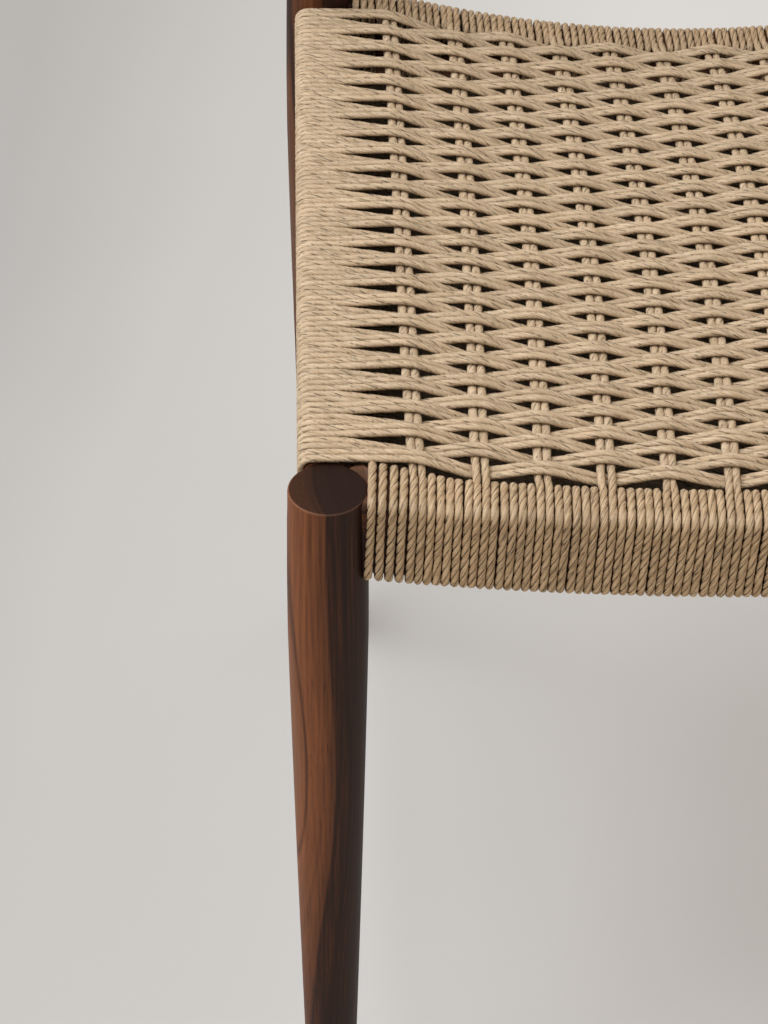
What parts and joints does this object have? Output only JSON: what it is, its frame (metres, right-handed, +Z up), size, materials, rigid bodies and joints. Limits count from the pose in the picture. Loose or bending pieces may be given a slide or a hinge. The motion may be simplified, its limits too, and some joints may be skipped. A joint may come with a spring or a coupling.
{
  "type": "side chair",
  "caption": "Side chair with turned walnut legs, a bowed two-rail back and a dished seat woven from twisted paper cord.",
  "frame": {"origin": "on the floor under the middle of the chair's box", "axes": "+Z up, front of the seat towards -Y, +X to the right as seen from the front"},
  "size_m": [0.4242, 0.5069, 0.7977],
  "materials": {
    "walnut": "oiled, satin",
    "paper_cord": "twisted, matt",
    "tack_steel": "bright",
    "glide": "matt"
  },
  "bodies": {
    "root": {"front_leg_left": "walnut", "front_leg_right": "walnut", "back_post_left": "walnut", "back_post_right": "walnut", "front_rail": "walnut", "back_rail": "walnut", "side_rail_left": "walnut", "side_rail_right": "walnut", "side_stretcher_left": "walnut", "side_stretcher_right": "walnut", "crest_rail": "walnut", "lower_back_rail": "walnut", "front_rail_winding": "paper_cord", "back_rail_winding": "paper_cord", "left_rail_winding": "paper_cord", "right_rail_winding": "paper_cord", "warp_cords": "paper_cord", "weft_cords": "paper_cord", "under_warp_cords": "paper_cord", "under_weft_cords": "paper_cord", "cord_tacks": "tack_steel", "foot_glides": "glide"}
  },
  "joints": []
}
